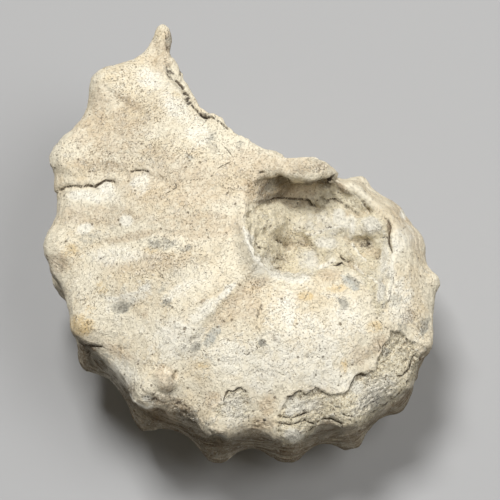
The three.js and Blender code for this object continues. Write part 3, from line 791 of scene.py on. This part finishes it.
# Smooth grey grains of crystal in the stone.
GREY_GRAINS = [
    [(205, 349), (202, 343), (207, 333), (213, 327), (219, 325), (222, 330), (216, 340), (210, 347)],
    [(340, 274), (346, 275), (355, 283), (360, 290), (354, 292), (345, 285)],
]


def spread(patches):
    """1 in the ovals, 0 outside all of them."""
    mask = np.zeros(len(points))
    for oval in patches:
        mask = np.maximum(mask, patch(*oval))
    return mask


broad_cloud = drift(9, 6)
cloud = drift(5, 7)
grains = np.zeros(len(points))
for outline in GREY_GRAINS:
    grains = np.maximum(grains, inside(outline, 2))
chalk_lines = np.zeros(len(points))
for corners, width in CHALK_LINES:
    chalk_lines = np.maximum(chalk_lines, groove(corners, 1.8 * width))
    vein_distance = np.minimum(vein_distance, line_distance(corners)[0] / width)
sunken = ((evened(moved, DENT_ROUNDS) - moved) * normals).sum(1) / MM

low_side = np.clip((0.55 - coil_radius / LOW_HOLLOW) * 6, 0, 1) * (coil[:, 2] < 0)
downward = np.clip(0.3 - 1.2 * (normals @ picture_up), 0, 1)
pepper = spread(PEPPER)
chalky = np.maximum(0.85 * spread(CHALK), 1.4 * np.maximum(spread(WHITE), 0.45 * chalk_lines))

# The unseen side has no ovals; soft clouds of the same colours stand in for them.
chalk_clouds = np.clip(cloud * 2 - 0.1, 0, 1) * (0.35 + 0.65 * unseen)
ochre_clouds = np.clip(broad_cloud * 2 - 0.35, 0, 1) * unseen
ash_clouds = np.clip(-cloud * 2 - 0.4, 0, 1) * np.clip(2 * unseen - 1, 0, 1)
tan_clouds = np.clip(-broad_cloud * 2, 0, 1) * unseen

# Painted shade on the rim: brown where it faces down and below the shoulder on the side in sight,
# and tan below the shoulder there too; on the unseen side the tan is a tone of the stone.
tan_rim = striped * np.maximum(unseen, below_shoulder)
rim_shade = striped * np.maximum(0.8 * downward, 1.4 * below_shoulder)
streaky = striped * streaks * np.maximum(0.3, np.maximum(unseen, 1.3 * below_shoulder))
tanned = np.maximum(spread(TAN), 0.95 * spread(WARM))
brown_shade = np.maximum(1.4 * spread(BROWN_SHADE), 0.55 * spread(FAINT_BROWN_SHADE))
grainy = 0.5 + 0.6 * scarred + 0.1 * filled + 0.25 * pepper

masks = {
    "chalk": chalky + 0.1 * scarred + 0.5 * chalk_clouds,
    "ochre": 1.0 * spread(OCHRE) + 0.8 * spread(DEEP_OCHRE) + 0.5 * ochre_clouds,
    "ash": 1.2 * spread(ASH) + 1.2 * spread(DARK_ASH) + 0.4 * ash_clouds,
    "tan": tanned + 0.5 * tan_rim + 0.4 * tan_clouds,
    "matrix": np.maximum(np.maximum(filled, scarred), low_side),
    "pepper": pepper + 0.3 * filled + 0.8 * scarred + 0.6 * broad_cloud * unseen,
    "back": brown_shade + rim_shade,
    "crevice_and_shade": np.clip(cracks_and_shade, 0, 1),
    "sunken": np.clip(sunken * 2.5, -1, 1),
    "grains": grains,
    "grainy": grainy - 0.2 * np.clip(chalky, 0, 1),
    "streaks": streaky,
    "crack_and_shadow_distance": np.minimum(crack_and_shadow_distance, FAR),
    "crack_and_shadow_strength": crack_and_shadow_strength,
    "vein_distance": np.minimum(vein_distance, FAR),
}
for name, mask in masks.items():
    attribute = fossil.data.attributes.new(name, "FLOAT", "POINT")
    attribute.data.foreach_set("value", mask.astype(np.float32))


# --- The stone's finish ----------------------------------------------------------------
# Dry limestone, dull and slightly porous: cream, with the stained areas and the areas of painted
# shade laid over it one after the other, then sand, specks, pits, veins, and cracks with painted
# shadow lines. The same patterns are a fine relief in its surface.


# The colour sockets of a Mix node share their names with others, so they go by number.
MIX_SHARE = 0
MIX_FROM = 6
MIX_TO = 7
MIX_RESULT = 2


class Socket:
    """A socket of the stone's node tree. Sums and products of sockets add Math nodes."""

    def __init__(self, tree, socket=None):
        self.tree = tree
        self.socket = socket

    def node(self, kind, inputs=None, output=0, **settings):
        """Any node: its type, its settings, and the values or links of its sockets."""
        made = self.tree.nodes.new(kind)
        for name, value in settings.items():
            setattr(made, name, value)
        for key, value in (inputs or {}).items():
            if isinstance(value, Socket):
                self.tree.links.new(value.socket, made.inputs[key])
            else:
                made.inputs[key].default_value = value
        return Socket(self.tree, made.outputs[output] if made.outputs else None)

    def maths(self, operation, *values):
        return self.node("ShaderNodeMath", dict(enumerate(values)), operation=operation)

    def __add__(self, other):
        return self.maths("ADD", self, other)

    def __radd__(self, other):
        return self.maths("ADD", other, self)

    def __sub__(self, other):
        return self.maths("SUBTRACT", self, other)

    def __rsub__(self, other):
        return self.maths("SUBTRACT", other, self)

    def __mul__(self, other):
        return self.maths("MULTIPLY", self, other)

    def __rmul__(self, other):
        return self.maths("MULTIPLY", other, self)

    def between(self, low, high):
        """0 below low and 1 above high, with a soft step between them."""
        return self.node(
            "ShaderNodeMapRange", {"Value": self, "From Min": low, "From Max": high},
            interpolation_type="SMOOTHSTEP",
        )

    def tinted(self, colour, share):
        """This colour, mixed with another one by the share."""
        return self.node(
            "ShaderNodeMix", {MIX_SHARE: share, MIX_FROM: self, MIX_TO: colour},
            output=MIX_RESULT, data_type="RGBA",
        )


def rgb(red, green, blue):
    """A colour given as screen values from 0 to 255."""
    linear = [
        v / 12.92 if v <= 0.04045 else ((v + 0.055) / 1.055) ** 2.4
        for v in (red / 255, green / 255, blue / 255)
    ]
    return (*linear, 1)


CREAM = rgb(236, 226, 201)
WARM_CREAM = rgb(227, 210, 177)
PALE_CREAM = rgb(247, 240, 219)
CHALK_WHITE = rgb(250, 245, 229)
OCHRE_YELLOW = rgb(224, 194, 136)
ASH_GREY = rgb(176, 172, 157)
SLATE = rgb(122, 119, 110)
GRAIN_GREY = rgb(204, 204, 194)
TAN_BROWN = rgb(196, 172, 138)
MATRIX_GREY = rgb(242, 229, 194)
SHADE_AND_STREAK_BROWN = rgb(100, 84, 62)
SPECK_BROWN = rgb(116, 92, 62)
DUST_BROWN = rgb(150, 130, 100)
CREVICE_AND_SHADE_BROWN = rgb(62, 50, 38)
BUMP_HEIGHT = 0.24 * MM
STONE_ROUGHNESS = 0.88
DULL_SHINE = 0.3

limestone = bpy.data.materials.new("limestone")
limestone.use_nodes = True
tree = limestone.node_tree
tree.nodes.clear()
maker = Socket(tree)

# Places on the stone, in millimetres.
place_mm = maker.node("ShaderNodeMapping", {
    "Vector": maker.node("ShaderNodeTexCoord", output="Object"),
    "Scale": (1 / MM, 1 / MM, 1 / MM),
})


def grain(scale, detail=3, roughness=0.55, shift=0.0, stretch=(1, 1, 1)):
    """Noise, mostly between -1 and 1, with the given number of features per millimetre."""
    spread_out = maker.node("ShaderNodeMapping", {
        "Vector": place_mm, "Location": (shift, 2 * shift, 3 * shift), "Scale": stretch,
    })
    noise_value = maker.node("ShaderNodeTexNoise", {
        "Vector": spread_out, "Scale": scale, "Detail": detail, "Roughness": roughness,
    })
    return noise_value * 4.5 - 2.25


def layer(name):
    """One of the skin's attributes."""
    return maker.node("ShaderNodeAttribute", output="Fac", attribute_name=name)


clouds = grain(0.2, 3, shift=3.1)
mottle = grain(0.8, 4, 0.6, shift=7.7)
flecks = grain(2.0, 5, 0.7, shift=11.3)
sand = grain(4.4, 3, 0.7, shift=15.9)
ragged = 0.28 * mottle + 0.30 * flecks + 0.20 * sand

# The skin of the stone has come off in thin flakes, so that it lies in low steps.
flaking = grain(0.75, 5, 0.62, shift=33.3)
flakes = flaking.between(-0.60, -0.52) + flaking.between(-0.05, 0.02) + flaking.between(0.5, 0.57)

# Growth lines and dirt run around the rim of the shell in streaks.
rim_lines = grain(1.5, 4, 0.65, shift=41.7, stretch=(0.22, 0.22, 3.0))

# Small dark pits: many fine ones that gather in clouds, and a few larger ones.
density = 0.22 * clouds + 0.15 * mottle + 0.28 * layer("pepper")
fine_pits = (grain(4.6, 1, 0.5, shift=21.7) + density).between(0.75, 1.2)
dashes = (grain(3.2, 1, 0.5, shift=27.1, stretch=(1, 0.6, 1)) + density).between(1.15, 1.60)
cell = {"Vector": place_mm, "Scale": 1.1}
cell_distance = maker.node("ShaderNodeTexVoronoi", cell, output="Distance")
cell_colour = maker.node("ShaderNodeTexVoronoi", cell, output="Color")
cell_size = maker.node("ShaderNodeSeparateColor", {"Color": cell_colour}, output="Red")
pit_edge = cell_distance + 0.10 * flecks + 0.07 * sand - 0.20 * cell_size.between(0.55, 1.0)
large_pits = 1 - pit_edge.between(-0.08, 0.02)
pits = maker.maths("MAXIMUM", maker.maths("MAXIMUM", fine_pits, dashes) * 0.8, large_pits)

# Cracks and painted shadow lines, and white veins, with ragged edges.
crack_and_shadow_edge = layer("crack_and_shadow_distance") + 0.35 * flecks + 0.25 * sand
crack_and_shadow_depth = layer("crack_and_shadow_strength") + 0.35 * mottle + 0.25 * flecks
crack_and_shadow_line = (1 - crack_and_shadow_edge.between(0.25, 1.35)) * crack_and_shadow_depth
vein = 1 - (layer("vein_distance") + 0.4 * flecks + 0.3 * sand).between(0.2, 1.4)

# The stone is made of crumbs, with a web of fine hairline cracks here and there.
speckle = grain(3.7, 2, 0.7, shift=51.3)
speckled = layer("grainy") + 0.25 * mottle - 0.5 * layer("grains")
crumb = maker.node(
    "ShaderNodeTexVoronoi", {"Vector": place_mm, "Scale": 2.6, "Detail": 1.0},
    feature="SMOOTH_F1",
)
web_distance = maker.node(
    "ShaderNodeTexVoronoi", {"Vector": place_mm, "Scale": 0.55}, feature="DISTANCE_TO_EDGE"
)
web = (1 - (web_distance + 0.03 * flecks).between(0.0, 0.035)) * (mottle + clouds).between(0.3, 0.9)

# Cream stone, with a warmer cream in soft clouds, and every other colour laid over it.
grit = (0.5 * flecks + 0.9 * sand) * (1 + 0.5 * layer("matrix"))
clouded = (clouds + 0.4 * mottle).between(-0.5, 0.7)
colour = maker.node(
    "ShaderNodeMix", {MIX_SHARE: clouded, MIX_FROM: CREAM, MIX_TO: WARM_CREAM},
    output=MIX_RESULT, data_type="RGBA",
)
# Each tint, and how much of it shows.
TINTS = [
    (PALE_CREAM, (mottle + 0.6 * flecks).between(0.0, 1.0) * 0.75),
    (TAN_BROWN, (0.5 * clouds - 0.8 * mottle - 0.3 * flecks).between(0.4, 1.6) * 0.35),
    # Painted shade, brown: under the hood, along folds and on the rim that faces down.
    (SHADE_AND_STREAK_BROWN, (layer("back") + 0.8 * ragged).between(0.1, 1.0) * 0.9),
    (TAN_BROWN, (layer("tan") + 1.2 * ragged).between(0.25, 1.25) * 0.68),
    (OCHRE_YELLOW, (layer("ochre") + 1.8 * ragged).between(0.4, 1.5) * 0.9),
    (MATRIX_GREY, (layer("matrix") + 0.5 * ragged).between(0.2, 0.9) * 0.75),
    (CHALK_WHITE, (layer("chalk") + 1.4 * ragged).between(0.1, 1.2) * 0.85),
    (ASH_GREY, (layer("ash") + 2.0 * ragged).between(0.45, 1.4) * 0.8),
    (SLATE, (layer("ash") + 2.6 * ragged).between(0.9, 2.4) * 0.8),
    # Tan painted shade in the dents of the skin.
    (TAN_BROWN, (layer("sunken") + 0.5 * ragged).between(0.1, 1.0) * 0.45),
    (PALE_CREAM, flakes * 0.12),
    (SHADE_AND_STREAK_BROWN, layer("streaks").between(0.0, 0.5) * 0.6),
    (SPECK_BROWN, (rim_lines * layer("back")).between(0.1, 1.0) * 0.75),
    (WARM_CREAM, (rim_lines * layer("back") * -1).between(0.2, 1.2) * 0.6),
    (DUST_BROWN, grit.between(0.3, 1.5) * 0.7),
    (PALE_CREAM, (-1 * grit).between(0.2, 1.3) * 0.8),
    (SPECK_BROWN, (speckle * speckled).between(0.28, 1.0) * 0.9),
    (CHALK_WHITE, (-1 * speckle * speckled).between(0.1, 1.0) * 0.8),
    (CHALK_WHITE, (layer("chalk") + ragged).between(0.6, 1.6) * 0.55),
    (GRAIN_GREY, (layer("grains") + 1.2 * ragged).between(0.3, 1.1) * 0.65),
    (SLATE, (layer("grains") - 1.6 * mottle - 0.8 * flecks).between(1.2, 2.6) * 0.4),
    (CHALK_WHITE, vein * 0.7),
    (DUST_BROWN, web * 0.4),
    (SPECK_BROWN, pits * 0.65),
    # Cracks and painted shadow lines, dark at their middle, then cracks and painted shade in dents.
    (SHADE_AND_STREAK_BROWN, crack_and_shadow_line.between(0.0, 0.5) * 0.8),
    (CREVICE_AND_SHADE_BROWN, crack_and_shadow_line.between(0.45, 1.0) * 0.9),
    (CREVICE_AND_SHADE_BROWN, (layer("crevice_and_shade") + 1.1 * ragged).between(0.3, 1.1) * 0.9),
]
for tint, share in TINTS:
    colour = colour.tinted(tint, share)

# The same patterns as relief, in parts of the bump's height.
height = (
    0.14 * flecks + 0.07 * sand + 0.12 * mottle - 0.10 * crumb - 0.6 * pits - 0.10 * web
    - 0.11 * speckled * speckle
    + 0.45 * flakes + 0.5 * layer("back") * rim_lines
    - 1.2 * crack_and_shadow_line + 0.3 * vein
    + layer("matrix") * (0.22 * flecks + 0.25 * mottle + 0.14 * sand)
)
bump = maker.node(
    "ShaderNodeBump", {"Strength": 1.0, "Distance": BUMP_HEIGHT, "Height": height}
)
shader = maker.node("ShaderNodeBsdfPrincipled", {
    "Base Color": colour, "Roughness": STONE_ROUGHNESS + 0.05 * sand, "Normal": bump,
    "Specular IOR Level": DULL_SHINE,
})
maker.node("ShaderNodeOutputMaterial", {"Surface": shader})
fossil.data.materials.append(limestone)

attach(fossil, "root")
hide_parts("ammonite")
